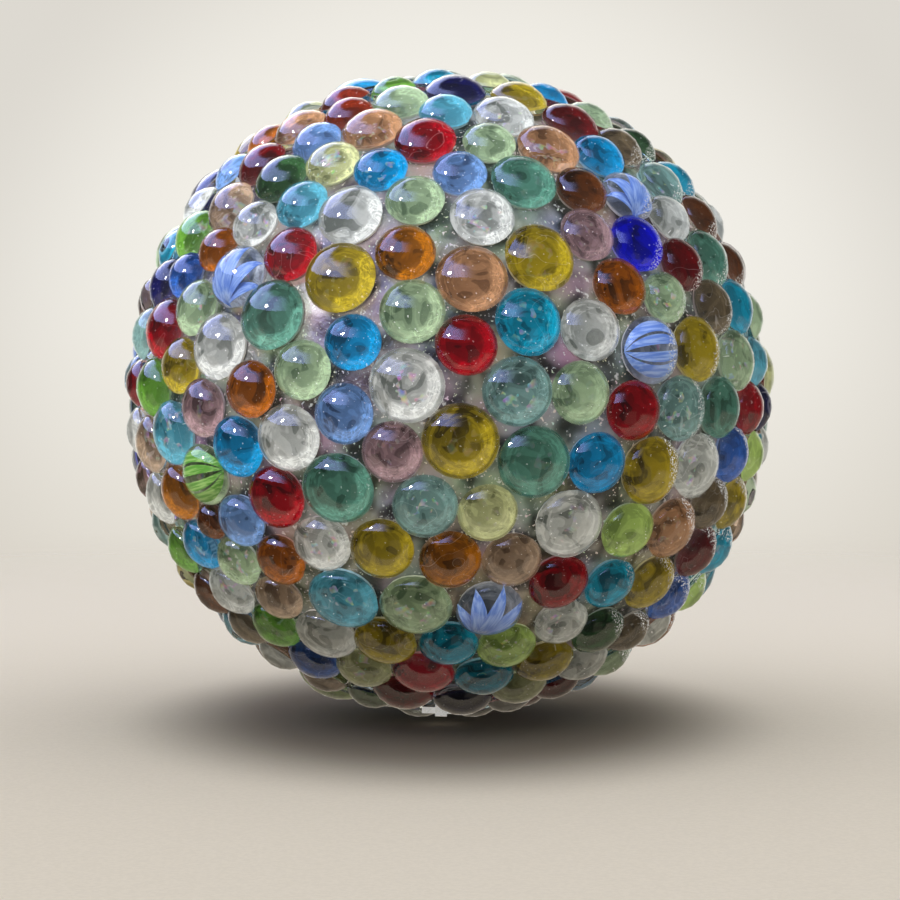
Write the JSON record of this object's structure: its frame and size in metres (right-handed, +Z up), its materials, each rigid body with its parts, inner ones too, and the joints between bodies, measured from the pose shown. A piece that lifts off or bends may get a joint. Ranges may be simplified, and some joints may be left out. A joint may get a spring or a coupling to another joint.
{
  "type": "glass marble ball",
  "caption": "Ball of flat-backed domed glass marbles in many colours, glued all over a clear hollow globe; stands as a small ornament.",
  "frame": {"origin": "centre of the hollow globe, in the middle of the ball", "axes": "+Z up out of the top of the ball, -Z down to the floor between the three lowest marbles; the hand-laid side that the picture shows faces -Y"},
  "size_m": [0.1994, 0.1996, 0.1986],
  "materials": {
    "globe": "clear hollow globe",
    "glue": "clear glue, slightly cloudy",
    "stub": "clear plastic",
    "clear_glass": "clear glass, polished",
    "pale_green_glass": "pale green clear glass, polished",
    "lemon_green_glass": "yellow-green clear glass, polished",
    "light_green_glass": "light green clear glass, polished",
    "leaf_green_glass": "leaf green clear glass, polished",
    "dark_green_glass": "dark green clear glass, polished",
    "sea_green_glass": "bluish green clear glass, polished",
    "pale_teal_glass": "pale greyish teal clear glass, polished",
    "teal_glass": "teal clear glass, polished",
    "aqua_glass": "aqua clear glass, polished",
    "sky_blue_glass": "sky blue clear glass, polished",
    "royal_blue_glass": "royal blue clear glass, polished",
    "cobalt_glass": "deep cobalt blue clear glass, polished",
    "navy_glass": "navy blue clear glass, polished",
    "slate_blue_glass": "greyish blue clear glass, polished",
    "red_glass": "red clear glass, polished",
    "garnet_glass": "dark garnet red clear glass, polished",
    "flame_glass": "orange red clear glass, polished",
    "orange_glass": "orange clear glass, polished",
    "amber_glass": "amber clear glass, polished",
    "brown_glass": "brown clear glass, polished",
    "smoke_glass": "smoky brown clear glass, polished",
    "olive_glass": "olive gold clear glass, polished",
    "peach_glass": "peach clear glass, polished",
    "tan_glass": "pale tan clear glass, polished",
    "mauve_glass": "pale mauve clear glass, polished",
    "blue_swirl_glass": "clear glass with light blue swirls, polished",
    "green_swirl_glass": "clear glass with green stripes, polished"
  },
  "bodies": {
    "root": {"globe": "globe", "glue_dabs": "glue", "stub": "stub", "clear_marbles": "clear_glass", "pale_green_marbles": "pale_green_glass", "lemon_green_marbles": "lemon_green_glass", "light_green_marbles": "light_green_glass", "leaf_green_marbles": "leaf_green_glass", "dark_green_marbles": "dark_green_glass", "sea_green_marbles": "sea_green_glass", "pale_teal_marbles": "pale_teal_glass", "teal_marbles": "teal_glass", "aqua_marbles": "aqua_glass", "sky_blue_marbles": "sky_blue_glass", "royal_blue_marbles": "royal_blue_glass", "cobalt_marbles": "cobalt_glass", "navy_marbles": "navy_glass", "slate_blue_marbles": "slate_blue_glass", "red_marbles": "red_glass", "garnet_marbles": "garnet_glass", "flame_marbles": "flame_glass", "orange_marbles": "orange_glass", "amber_marbles": "amber_glass", "brown_marbles": "brown_glass", "smoke_marbles": "smoke_glass", "olive_marbles": "olive_glass", "peach_marbles": "peach_glass", "tan_marbles": "tan_glass", "mauve_marbles": "mauve_glass", "blue_swirl_marbles": "blue_swirl_glass", "green_swirl_marbles": "green_swirl_glass"}
  },
  "joints": []
}
